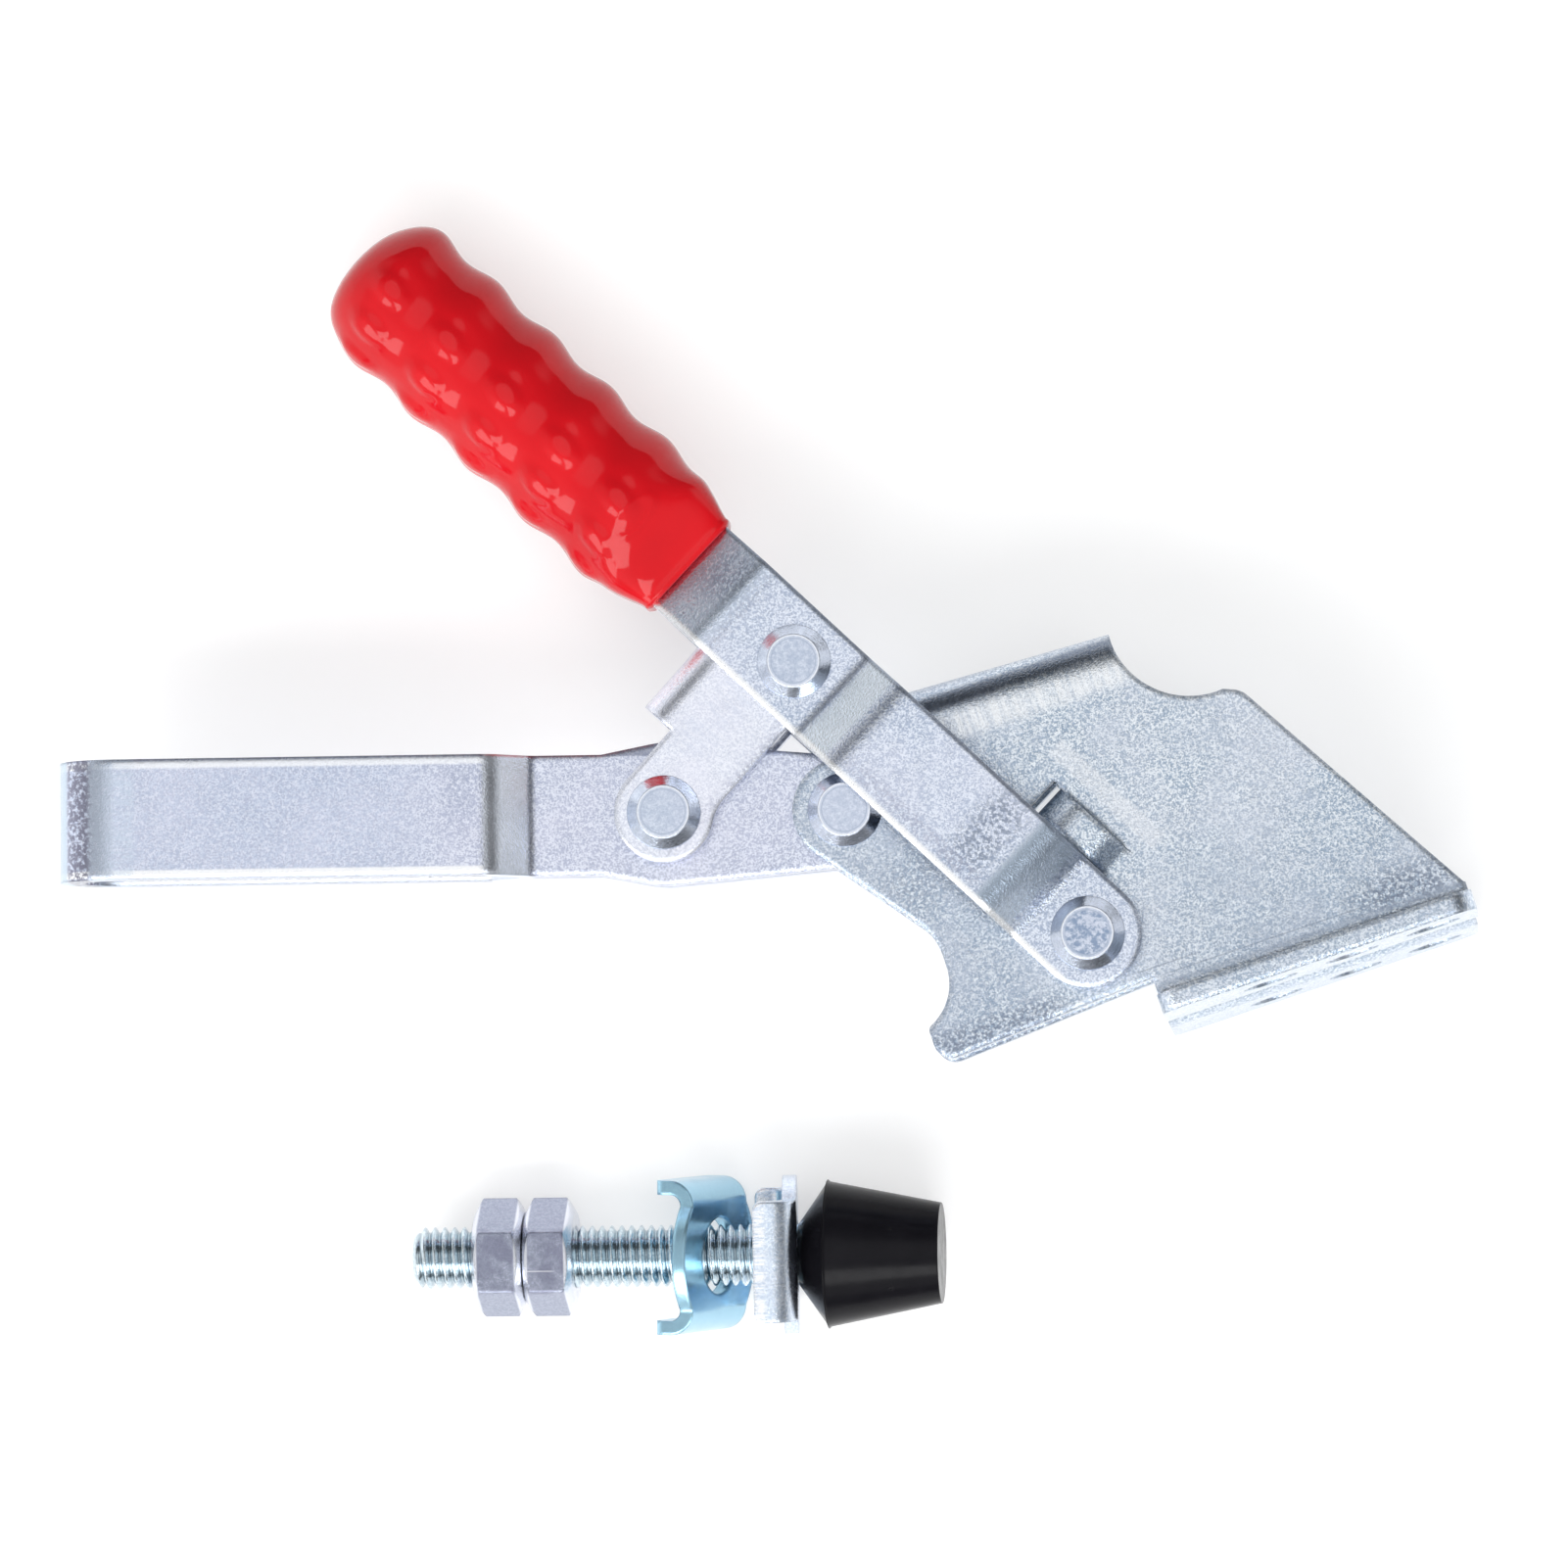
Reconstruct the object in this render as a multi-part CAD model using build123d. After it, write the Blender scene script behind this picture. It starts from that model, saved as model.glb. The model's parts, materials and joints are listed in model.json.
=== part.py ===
"""Vertical-handle toggle clamp with a U-bar arm, lying open on its side, and its loose spindle set.

The clamp is modelled in its own frame: the origin is where the handle pivot crosses the mid-plane,
X runs along the mounting flanges, Y away from the mounting face and Z along the pivots.
Everything is then laid down on the plane Z = 0, with the spindle set beside it.
"""
from build123d import *
from math import acos, atan2, cos, degrees, radians, sin, sqrt, tan
import os

# ---- sheet, running clearances and the stack from the mid-plane outwards ------------------------
sheet = 2.5                     # base plates, link and handle straps
arm_sheet = 3.0                 # U-bar
leg_gap_half = 0.2              # half the gap between the bar's legs at the pivots
side_play = 0.1                 # between two layers that slide on each other
overrun = 1.0                   # how far a cutting or joining solid runs past a face
pin_play = 0.05                 # radial play of a rivet in the piece that turns on it

leg_outer = leg_gap_half + arm_sheet
plate_inner = leg_outer + side_play
plate_outer = plate_inner + sheet
strap_inner = plate_outer + side_play
strap_outer = strap_inner + sheet

# ---- linkage: pivot places and lengths -----------------------------------------------------------
arm_pivot_x = -23.7             # from the handle pivot
arm_pivot_y = 24.4
handle_throw = 49.7             # handle pivot to link pin
link_length = 24.7              # link pin to arm rivet
arm_throw = 22.5                # arm pivot to link rivet on the arm
handle_open = 118.5             # direction of the open handle, degrees from X

# ---- rivets --------------------------------------------------------------------------------------
rivet_radius = 3.0
head_radius = 4.6
head_flat_radius = 3.3
head_height = 1.5
head_land = 0.25                # straight rim under the head's chamfer
bush_radius = 5.0

# ---- base plates -----------------------------------------------------------------------------------
ear_radius = 6.5                # round the arm pivot
seat_play = 0.8                 # cut-out round the link's closed end
flange_reach = 27.0             # mid-plane to the flange's free edge
mounting_y = -13.5              # mounting face
flange_left = 5.8
flange_length = 40.4
flange_corner = 3.0
flange_bend = 2.0               # inner radius
hole_radius = 3.5               # mounting holes
hole_count = 3
hole_row = 17.0                 # hole row from the mid-plane
hole_pitch = 10.5
hole_margin = 5.7               # last hole to the flange's right end
roll_outer = 4.8                # outer radius of the turned-in top edge
roll_slope = -2.6               # direction of that edge, degrees from X
roll_height = 30.8              # start of its bend, on the Y axis
roll_left = -17.0
lap = 0.3                       # a bend's run into the flat it grows from
relief_radius = 10.4            # scallop behind the top edge
relief_x = 24.6                 # scallop's centre
relief_y = 33.9
shoulder_x = 27.6               # corner between the scallop and the sloping right edge
shoulder_y = 22.7
shoulder_radius = 3.0
shoulder_step = 1.2             # rise from that corner to the scallop
right_edge_slope = -59.0
toe_x = -22.5                   # sharp corner before rounding
toe_y = -9.3
toe_radius = 2.3
toe_slope = 3.3                 # rise of the toe's lower edge, degrees
toe_inner_radius = 0.9          # between the cut-out and the toe
neck_slope = -53.0              # front edge from the ear down to the cut-out
neck_radius = 8.0               # leads that edge into the cut-out
fillet_share = 0.95             # most of a straight run that a rounding may use up

# ---- lanced stop beside the open handle ----------------------------------------------------------
stop_start = 3.2                # root of the tongue, along the handle from its pivot
stop_window = 13.0              # window's length from the root
stop_top = (3.9, 8.2)           # raised stretch of the tongue, from the root
stop_width = 4.1
stop_rise = 2.4
stop_sink = 0.6                 # how far the free end dips into the window
stop_play = 0.15
stop_bend = 1.0

# ---- link --------------------------------------------------------------------------------------------
link_end_radius = 6.2
link_waist = 4.5                # axis to the hollow edge
link_blend = 6.0                # radius that leads the hollow edge into the round ends
bridge_start = 8.3              # along the link, from the arm rivet
bridge_end = 22.0
bridge_outer = 10.9             # axis to the bridge's outer face
bridge_bend = 1.5               # inner radius

# ---- handle straps ---------------------------------------------------------------------------------
strap_width = 13.4
strap_rise = 4.0                # joggle that clears the rivet heads under the strap
joggle_bend = 2.0
low_end = 6.8                   # stations along the strap, from the handle pivot
high_start = 12.1
high_end = 36.6
low_start = 43.2
nose_start = 60.0
nose_end = 68.2
strap_end = 121.0
strap_end_radius = 5.0

# ---- grip ----------------------------------------------------------------------------------------------
grip_mouth = 67.9               # stations along the handle
grip_end = 125.1
mouth_half = 7.4                # radii
mouth_rise = 4.5                # half the flattened mouth's height, over the straps
mouth_run = 12.5                # from the mouth to where the sleeve is round
swell_half = 9.1                # halfway between the mouth and the first lobe
swell_run = 8.3
end_half = 6.9                  # the blunt far end
end_run = 5.025                 # last lobe's crown to that end
lobe_half = 9.9
valley_half = 9.0
lobe_count = 5                  # they fill what the mouth and the far end leave

# ---- arm ----------------------------------------------------------------------------------------------
arm_width = 15.0
arm_reach = 98.6                # arm pivot to the U-bar's round end
arm_end_half = 7.5              # half the outer width over the legs
arm_root_radius = 6.9           # round the arm pivot
arm_knuckle_radius = 8.9        # round the link rivet
knuckle_run_out = 6.0           # from the knuckle's widest point to the straight bar
flare_start = 39.7              # stations along the arm, from its pivot
flare_end = 44.8
flare_bend = 1.5

# ---- spindle set: M8 bolt with a moulded tip, two nuts and two flanged washers -----------------
thread_radius = 3.9
thread_chamfer = 0.8
nut_flats = 13.0
nut_thickness = 6.3
nut_face_radius = 5.7           # where the chamfer starts
nut_chamfer = 30.0              # degrees
nut_space = 0.1
bolt_end_to_nut = 7.8
nuts_to_washer = 18.2           # second nut to the leaning washer's middle
washer_spacing = 9.9            # between the two washers' middles, along the bolt
washer_sheet = 1.8
washer_across = 19.4            # over the two flanges
washer_round = 20.0             # diameter of the round plate
washer_depth = 5.5
washer_corner = 1.2
washer_flange_width = 15.2
washer_bend = 1.4
washer_hole_radius = 4.85
washer_lean = 25.0              # the outer washer's lean, degrees
washer_roll = 3.0               # and its turn about its own axis
rough_pitch = 5.2               # about how far the bolt it carries is raised, degrees
tip_neck_radius = 3.9
tip_rim_radius = 9.15
tip_end_radius = 6.35
tip_neck_length = 3.7
tip_body_length = 14.3
tip_flash = 0.25                # moulding lip at the rim
head_depth = 7.0                # bolt head inside the tip, from the tip's neck
bolt_head_thickness = 5.3
neck_gap = 0.2                  # inner washer to the tip's neck

# ---- how the pieces lie -----------------------------------------------------------------------------
lay_yaw = 18.5                  # direction of the flanges on the table
spindle_x = -85.2               # bolt's free end from the handle pivot, along the table
spindle_y = -41.8
spindle_yaw = 0.9


def polar(radius, angle):
    """Vector of a given length and direction in degrees."""
    return Vector(radius * cos(radians(angle)), radius * sin(radians(angle)))


def heading(vector):
    """Direction of a vector in degrees from X."""
    return degrees(atan2(vector.Y, vector.X))


arm_pivot = Vector(arm_pivot_x, arm_pivot_y)
relief_centre = Vector(relief_x, relief_y)
shoulder = Vector(shoulder_x, shoulder_y)
toe_tip = Vector(toe_x, toe_y)
lobe_root = grip_mouth + swell_run
last_crown = grip_end - end_run
lobe_pitch = (last_crown - lobe_root) / (lobe_count - 0.5)


def linkage(handle_angle):
    """Place of the link rivet on the arm, for a handle direction."""
    pin = polar(handle_throw, handle_angle)
    span = pin - arm_pivot
    along = (span.length ** 2 + arm_throw ** 2 - link_length ** 2) / (2 * span.length)
    across = sqrt(arm_throw ** 2 - along ** 2)
    unit = span.normalized()
    return arm_pivot + unit * along + Vector(-unit.Y, unit.X) * across


def dead_point():
    """Handle direction with the link folded along the handle."""
    short = handle_throw - link_length
    base = arm_pivot.length
    corner = (base ** 2 + short ** 2 - arm_throw ** 2) / (2 * base * short)
    return heading(arm_pivot) + degrees(acos(corner))


handle_closed = dead_point()
closed_rivet = polar(handle_throw - link_length, handle_closed)
handle_swing = handle_closed - handle_open
open_rivet = linkage(handle_open)
open_pin = polar(handle_throw, handle_open)
arm_open = heading(open_rivet - arm_pivot)
arm_closed = heading(closed_rivet - arm_pivot) % 360
link_open = heading(open_pin - open_rivet)
link_closed = heading(polar(handle_throw, handle_closed) - closed_rivet) % 360

arm_swing = arm_closed - arm_open
link_swing = (link_closed - link_open) - arm_swing

handle_frame = Rot(0, 0, handle_open)
arm_frame = Pos(arm_pivot.X, arm_pivot.Y, 0) * Rot(0, 0, arm_open)
link_frame = Pos(open_rivet.X, open_rivet.Y, 0) * Rot(0, 0, link_open)
pin_frame = Pos(open_pin.X, open_pin.Y, 0)


def bent_strip(stations, thickness, bend, width):
    """Sheet strip: its middle line (x, z) with equal bends, as wide as width along Y."""
    middle = FilletPolyline(*stations, radius=bend + thickness / 2)
    return extrude(Plane.XZ * trace(middle, line_width=thickness), width / 2, both=True)


def plate(face, bottom, top):
    """Flat face raised from one height to another."""
    return Pos(0, 0, bottom) * extrude(face, top - bottom)


def disc(radius, bottom, top, x=0, y=0):
    """Round bar along Z between two heights."""
    return Pos(x, y, (bottom + top) / 2) * Cylinder(radius, top - bottom)


def mirrored(solid):
    """The same piece on the other side of the mid-plane."""
    return mirror(solid, about=Plane.XY)


def rivet_head(seat):
    """Flat-topped chamfered head that sits on a face at height seat."""
    land = seat + head_land
    chamfer = Pos(0, 0, (land + seat + head_height) / 2) * Cone(
        head_radius, head_flat_radius, head_height - head_land)
    return disc(head_radius, seat, land) + chamfer


def through_rivet(seat):
    """Rivet through the whole stack, with a head at each end."""
    head = rivet_head(seat)
    return disc(rivet_radius, -seat, seat) + head + mirrored(head)


def round_corner(face, x, y, radius):
    """Round the corner of a flat face that lies nearest to a point."""
    return fillet(face.vertices().sort_by_distance((x, y))[0], radius)


def held_radius(radius, run, turn):
    """Rounding radius, or the most that a straight run holds at a corner of that turn in degrees."""
    return min(radius, fillet_share * run / tan(radians(turn / 2)))


def base_outline():
    """Flat part of a base plate: ear, cut-out, toe, flange side, sloping edge, scallop."""
    cut_radius = link_end_radius + seat_play
    cut_side = closed_rivet.X + cut_radius
    flange_right = flange_left + flange_length
    flat_bottom = mounting_y + sheet + flange_bend
    roll = tan(radians(roll_slope))
    neck = polar(1, neck_slope)
    ear_side = arm_pivot + polar(ear_radius, neck_slope - 90)
    neck_foot = ear_side + neck * ((cut_side - ear_side.X) / neck.X)
    toe_rise = (flange_left - toe_tip.X) * tan(radians(toe_slope))
    edge_run = (shoulder.Y - flat_bottom) / tan(radians(-right_edge_slope))
    crest_right = relief_centre.X
    corners = [
        (ear_side.X, ear_side.Y),
        (neck_foot.X, neck_foot.Y),
        (cut_side, closed_rivet.Y),
        (toe_tip.X, closed_rivet.Y),
        (toe_tip.X, toe_tip.Y),
        (flange_left, toe_tip.Y + toe_rise),
        (flange_left, flat_bottom),
        (min(shoulder.X + edge_run, flange_right), flat_bottom),
        (shoulder.X, shoulder.Y),
        (crest_right, shoulder.Y + shoulder_step),
        (crest_right, roll_height + crest_right * roll),
        (roll_left, roll_height + roll_left * roll),
        (arm_pivot.X, arm_pivot.Y + ear_radius),
        (arm_pivot.X, arm_pivot.Y),
    ]
    body = make_face(Polyline(*corners, close=True))
    neck_held = held_radius(neck_radius, neck_foot.Y - closed_rivet.Y, 90 + neck_slope)
    for corner, radius in ((neck_foot, neck_held), (toe_tip, toe_radius), (shoulder, shoulder_radius)):
        body = round_corner(body, corner.X, corner.Y, radius)
    body += Pos(arm_pivot.X, arm_pivot.Y) * Circle(ear_radius)
    body -= Pos(closed_rivet.X, closed_rivet.Y) * Circle(cut_radius)
    return round_corner(body, toe_tip.X, closed_rivet.Y - cut_radius, toe_inner_radius)


def base_plate():
    """Front base plate: bent-out mounting flange, turned-in top edge and lanced stop."""
    flange_right = flange_left + flange_length
    middle = (plate_inner + plate_outer) / 2
    body = plate(base_outline(), plate_inner, plate_outer)

    flange_y = mounting_y + sheet / 2
    bend = flange_bend + sheet / 2
    section = FilletPolyline((flange_y + bend + lap, middle), (flange_y, middle),
                             (flange_y, flange_reach), radius=bend)
    flange = extrude(Plane.YZ * trace(section, line_width=sheet), flange_length)
    flange = Pos(flange_left, 0, 0) * flange
    for x in (flange_left, flange_right):
        edge = flange.edges().filter_by(Axis.Y).sort_by_distance((x, flange_y, flange_reach))[0]
        flange = fillet(edge, flange_corner)
    body += flange

    roll_middle = roll_outer - sheet / 2
    roll_section = FilletPolyline((-lap, middle), (roll_middle, middle), (roll_middle, 0),
                                  radius=roll_middle)
    crest = extrude(Plane.YZ * trace(roll_section, line_width=sheet),
                    (relief_centre.X - roll_left) / cos(radians(roll_slope)))
    start = Vector(roll_left, roll_height + roll_left * tan(radians(roll_slope)))
    body += Pos(start.X, start.Y, 0) * Rot(0, 0, roll_slope) * crest
    body -= disc(relief_radius, -overrun, flange_reach, relief_centre.X, relief_centre.Y)

    for index in range(hole_count):
        x = flange_right - hole_margin - index * hole_pitch
        body -= Pos(x, flange_y, hole_row) * Rot(90, 0, 0) * Cylinder(hole_radius, 2 * sheet)
    for centre in (Vector(0, 0), arm_pivot):
        body -= disc(rivet_radius, plate_inner - overrun, plate_outer + overrun, centre.X, centre.Y)
    return cut_stop(body, middle)


def cut_stop(body, middle):
    """Lance the stop: open its window and leave the raised tongue joined at one end."""
    lane = handle_frame * Pos(stop_start, -(strap_width / 2 + stop_play + stop_width / 2), middle)
    window = Pos(stop_window / 2, 0, 0) * Box(stop_window, stop_width + 2 * stop_play, 2 * sheet)
    tongue = bent_strip(
        [(-stop_bend - sheet, 0), (stop_bend, 0), (stop_top[0], stop_rise), (stop_top[1], stop_rise),
         (stop_window - stop_bend - sheet / 2, -stop_sink)],
        sheet, stop_bend, stop_width)
    return body - lane * window + lane * tongue


def link_piece():
    """Link: two cheeks joined by a bent bridge."""
    ends = Circle(link_end_radius) + Pos(link_length, 0) * Circle(link_end_radius)
    web = Pos(0, -link_waist) * Rectangle(link_length, link_waist + link_end_radius,
                                          align=(Align.MIN, Align.MIN))
    cheek = ends + web
    run = sqrt(link_end_radius ** 2 - link_waist ** 2)
    for x in (run, link_length - run):
        cheek = round_corner(cheek, x, -link_waist, link_blend)
    cheek = plate(cheek, plate_inner, plate_outer)

    outer = Rectangle(bridge_outer, 2 * plate_outer, align=(Align.MIN, Align.CENTER))
    bend_outer = bridge_bend + sheet
    outer = fillet(outer.vertices().group_by(Axis.X)[-1], bend_outer)
    inner = Rectangle(bridge_outer - sheet, 2 * plate_inner, align=(Align.MIN, Align.CENTER))
    inner = fillet(inner.vertices().group_by(Axis.X)[-1], bridge_bend)
    channel = Pos(bridge_start, 0, 0) * extrude(Plane.YZ * (outer - inner), bridge_end - bridge_start)

    body = cheek + mirrored(cheek) + channel
    for x in (0, link_length):
        body -= disc(rivet_radius + pin_play, -plate_outer - overrun, plate_outer + overrun, x)
    return body


def strap_stations():
    """Middle line of the front strap, from its pivot to its end in the grip."""
    low = (strap_inner + strap_outer) / 2
    high = low + strap_rise
    return [(-strap_width / 2, low), (low_end, low), (high_start, high), (high_end, high),
            (low_start, low), (nose_start, low), (nose_end, sheet / 2), (strap_end, sheet / 2)]


def handle_strap():
    """Front handle strap, joggled over the rivet heads and brought in to the mid-plane."""
    body = bent_strip(strap_stations(), sheet, joggle_bend, strap_width)
    outline = Pos(strap_end / 2, 0) * Rectangle(strap_end, strap_width)
    outline = fillet(outline.vertices().group_by(Axis.X)[-1], strap_end_radius)
    outline += Circle(strap_width / 2)
    body &= plate(outline, 0, strap_outer + strap_rise)
    body -= disc(rivet_radius + pin_play, 0, strap_outer + overrun)
    body -= disc(rivet_radius, 0, strap_outer + overrun, handle_throw)
    return body


def strap_gap():
    """Space between the two straps, from one middle line to the other."""
    middle = FilletPolyline(*strap_stations(), radius=joggle_bend + sheet / 2)
    rest = Polyline(middle @ 1, (strap_end, 0), (-strap_width / 2, 0), middle @ 0)
    half = extrude(Plane.XZ * make_face([*middle.edges(), *rest.edges()]), strap_width / 2, both=True)
    return half + mirrored(half)


def grip_sleeve():
    """Moulded grip: turned, with round lobes and a blunt closed end, and flattened at its mouth."""
    bands = [ThreePointArc((grip_mouth, mouth_half), (grip_mouth + swell_run / 2, swell_half),
                           (lobe_root, valley_half))]
    for index in range(lobe_count - 1):
        start = lobe_root + index * lobe_pitch
        bands.append(ThreePointArc((start, valley_half), (start + lobe_pitch / 2, lobe_half),
                                   (start + lobe_pitch, valley_half)))
    crown = (last_crown, lobe_half)
    bands.append(TangentArc(crown, (last_crown - lobe_pitch / 2, valley_half), tangent=(-1, 0)))
    bands.append(TangentArc(crown, (grip_end, end_half), tangent=(1, 0)))
    rest = Polyline((grip_end, end_half), (grip_end, 0), (grip_mouth, 0), (grip_mouth, mouth_half))
    turned = revolve(Face(Wire([*bands, *rest.edges()])), Axis.X)
    round_start = grip_mouth + mouth_run
    side = Polyline((grip_mouth, mouth_rise), (round_start, lobe_half), (grip_end, lobe_half),
                    (grip_end, -lobe_half), (round_start, -lobe_half), (grip_mouth, -mouth_rise),
                    close=True)
    flattened = turned & extrude(Plane.XZ * make_face(side), lobe_half, both=True)
    return flattened - strap_gap()


def arm_bar():
    """U-bar: one strip folded round its end, joggled in to a flat double leg at the pivots."""
    leg_middle = leg_gap_half + arm_sheet / 2
    wide_middle = arm_end_half - arm_sheet / 2
    bow = arm_reach - arm_end_half
    side = FilletPolyline((-arm_knuckle_radius, leg_middle), (flare_start, leg_middle),
                          (flare_end, wide_middle), (bow, wide_middle), radius=flare_bend + arm_sheet / 2)
    end = ThreePointArc((bow, wide_middle), (bow + wide_middle, 0), (bow, -wide_middle))
    section = trace(side, line_width=arm_sheet)
    profile = section + mirror(section, about=Plane.XZ) + trace(end, line_width=arm_sheet)
    body = extrude(Plane.XZ * profile, arm_knuckle_radius + overrun, both=True)

    bar_start = arm_throw + knuckle_run_out
    bar = Pos((bar_start + arm_reach) / 2, 0) * Rectangle(arm_reach - bar_start, arm_width)
    knuckle = make_hull((Circle(arm_root_radius)
                         + Pos(arm_throw, 0) * Circle(arm_knuckle_radius)).edges())
    blend = make_hull(((Pos(arm_throw, 0) * Circle(arm_knuckle_radius))
                       + Pos(bar_start + overrun, 0) * Rectangle(2 * overrun, arm_width)).edges())
    body &= plate(bar + knuckle + blend, -arm_end_half, arm_end_half)
    body -= disc(rivet_radius + pin_play, -leg_outer - overrun, leg_outer + overrun)
    body -= disc(rivet_radius, -leg_outer - overrun, leg_outer + overrun, arm_throw)
    return body


def hex_prism(flats, thickness):
    """Hexagon bar along X with flats up and down, standing on the plane X = 0."""
    hexagon = RegularPolygon(flats / 2, 6, major_radius=False)
    return extrude(Plane.YZ * hexagon, thickness)


def hex_nut():
    """Hexagon nut with both faces chamfered, its bore filled by the bolt."""
    rim = nut_flats / sqrt(3) + nut_space
    drop = (rim - nut_face_radius) * tan(radians(nut_chamfer))
    turned = Polyline((0, 0), (0, nut_face_radius), (drop, rim), (nut_thickness - drop, rim),
                      (nut_thickness, nut_face_radius), (nut_thickness, 0), close=True)
    shape = hex_prism(nut_flats, nut_thickness) & revolve(make_face(turned), Axis.X)
    return shape - Pos(nut_thickness / 2, 0, 0) * Rot(0, 90, 0) * Cylinder(
        thread_radius, 2 * nut_thickness)


def spindle_bolt():
    """Bolt along X from its free end, with the hexagon head that the tip is moulded on."""
    shank = Pos(neck_station / 2, 0, 0) * Rot(0, 90, 0) * Cylinder(thread_radius, neck_station)
    shank = chamfer(shank.edges().sort_by(Axis.X)[0], thread_chamfer)
    root = Pos(neck_station, 0, 0) * Rot(0, 90, 0) * Cylinder(
        thread_radius, head_depth, align=(Align.CENTER, Align.CENTER, Align.MIN))
    return shank + root + Pos(neck_station + head_depth, 0, 0) * hex_prism(
        nut_flats, bolt_head_thickness)


def rubber_tip(bolt):
    """Tapered rubber tip moulded round the bolt head."""
    rim = neck_station + tip_neck_length
    end = rim + tip_body_length
    profile = Polyline((neck_station, 0), (neck_station, tip_neck_radius), (rim, tip_rim_radius),
                       (rim, tip_rim_radius + tip_flash), (rim + tip_flash, tip_rim_radius),
                       (end, tip_end_radius), (end, 0), close=True)
    return revolve(make_face(profile), Axis.X) - bolt


def flanged_washer():
    """Round washer with two opposite sides bent over to straddle the U-bar."""
    outer = Rectangle(washer_depth, washer_across, align=(Align.MAX, Align.CENTER))
    outer = fillet(outer.vertices().group_by(Axis.X)[-1], washer_bend + washer_sheet)
    inner = Pos(-washer_sheet, 0) * Rectangle(washer_depth, washer_across - 2 * washer_sheet,
                                              align=(Align.MAX, Align.CENTER))
    inner = fillet(inner.vertices().group_by(Axis.X)[-1], washer_bend)
    channel = extrude(outer - inner, washer_across, both=True)
    round_plate = Rot(0, 90, 0) * Cylinder(washer_round / 2, 4 * washer_depth)
    flange_side = Box(2 * washer_depth, washer_across, washer_flange_width)
    flange_side = fillet(flange_side.edges().filter_by(Axis.Y).group_by(Axis.X)[0], washer_corner)
    waist = Box(2 * washer_sheet, washer_across - 2 * washer_sheet, washer_round)
    shape = channel & (flange_side + (waist & round_plate))
    return shape - Rot(0, 90, 0) * Cylinder(washer_hole_radius, 4 * washer_depth)


# ---- clamp, in its own frame ------------------------------------------------------------------------
front_plate = base_plate()
front_strap = handle_frame * handle_strap()
back_strap = mirrored(front_strap)
pivot_end = disc(rivet_radius, plate_inner, plate_outer) + rivet_head(plate_outer)
pivot_end = Pos(arm_pivot.X, arm_pivot.Y, 0) * pivot_end

clamp = {
    "base_plate_front": front_plate,
    "base_plate_back": mirrored(front_plate),
    "arm_pivot_rivet_front": pivot_end,
    "arm_pivot_rivet_back": mirrored(pivot_end),
    "arm_pivot_core": Pos(arm_pivot.X, arm_pivot.Y, 0) * disc(rivet_radius, -leg_outer, leg_outer),
    "handle_pivot_rivet": through_rivet(strap_outer + side_play),
    "handle_pivot_bush": disc(bush_radius, -plate_inner, plate_inner)
    - disc(rivet_radius, -plate_inner, plate_inner),
    "arm_bar": arm_frame * arm_bar(),
    "link_arm_rivet": Pos(open_rivet.X, open_rivet.Y, 0) * through_rivet(plate_outer + side_play),
    "link": link_frame * link_piece(),
    "link_pin": pin_frame * through_rivet(strap_outer),
    "handle_strap_front": front_strap,
    "handle_strap_back": back_strap,
    "handle_grip": handle_frame * grip_sleeve() - front_strap - back_strap,
}

# ---- spindle set, along X from the bolt's free end ------------------------------------------------
second_nut = bolt_end_to_nut + nut_thickness + nut_space
lean_station = second_nut + nut_thickness + nuts_to_washer
inner_station = lean_station + washer_spacing
neck_station = inner_station + neck_gap
bolt = spindle_bolt()
washer = flanged_washer()
tilt_in_hole = radians(washer_lean - rough_pitch)
hole_slack = (washer_hole_radius * cos(tilt_in_hole) - washer_sheet / 2 * sin(tilt_in_hole)
              - thread_radius - pin_play)
lean = radians(washer_lean)
lean_height = washer_round / 2 * cos(lean) + washer_sheet * sin(lean)
rest_height = lean_height - washer_sheet / 2 * sin(lean) - hole_slack
nut_rest = bolt_end_to_nut + (nut_flats / 2 - nut_face_radius) * tan(radians(nut_chamfer))
spindle_pitch = atan2(rest_height - nut_flats / 2, lean_station - nut_rest)
axis_height = nut_flats / 2 * cos(spindle_pitch) - nut_rest * sin(spindle_pitch)
spindle_frame = Pos(0, 0, axis_height) * Rot(0, -degrees(spindle_pitch), 0)
loose_set = {
    "spindle_bolt": spindle_frame * bolt,
    "rubber_tip": spindle_frame * rubber_tip(bolt),
    "lock_nut_outer": spindle_frame * Pos(bolt_end_to_nut, 0, 0) * hex_nut(),
    "lock_nut_inner": spindle_frame * Pos(second_nut, 0, 0) * hex_nut(),
    "flanged_washer_outer": Pos(lean_station * cos(spindle_pitch), 0, lean_height)
    * Rot(0, -washer_lean, 0) * Rot(-washer_roll, 0, 0) * washer,
    "flanged_washer_inner": Pos(inner_station * cos(spindle_pitch), 0, washer_across / 2)
    * Rot(90, 0, 0) * washer,
}

# ---- lay everything down ---------------------------------------------------------------------------
lobe_y = last_crown * sin(radians(handle_open))
flange_top_y = mounting_y + sheet
lay_tilt = atan2(flange_reach - lobe_half, lobe_y - flange_top_y)
lay_height = flange_reach * cos(lay_tilt) + flange_top_y * sin(lay_tilt)
clamp_frame = Pos(0, 0, lay_height) * Rot(0, 0, lay_yaw) * Rot(-degrees(lay_tilt), 0, 0)
set_frame = Pos(spindle_x, spindle_y, 0) * Rot(0, 0, spindle_yaw)

laid = {name: clamp_frame * piece for name, piece in clamp.items()}
laid.update({name: set_frame * piece for name, piece in loose_set.items()})
box = Compound(children=[Compound(piece.solids()) for piece in laid.values()]).bounding_box()
origin = Pos(-(box.min.X + box.max.X) / 2, -(box.min.Y + box.max.Y) / 2, -box.min.Z)
nodes = {name: origin * piece for name, piece in laid.items()}
clamp_frame = origin * clamp_frame
set_frame = origin * set_frame

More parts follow.
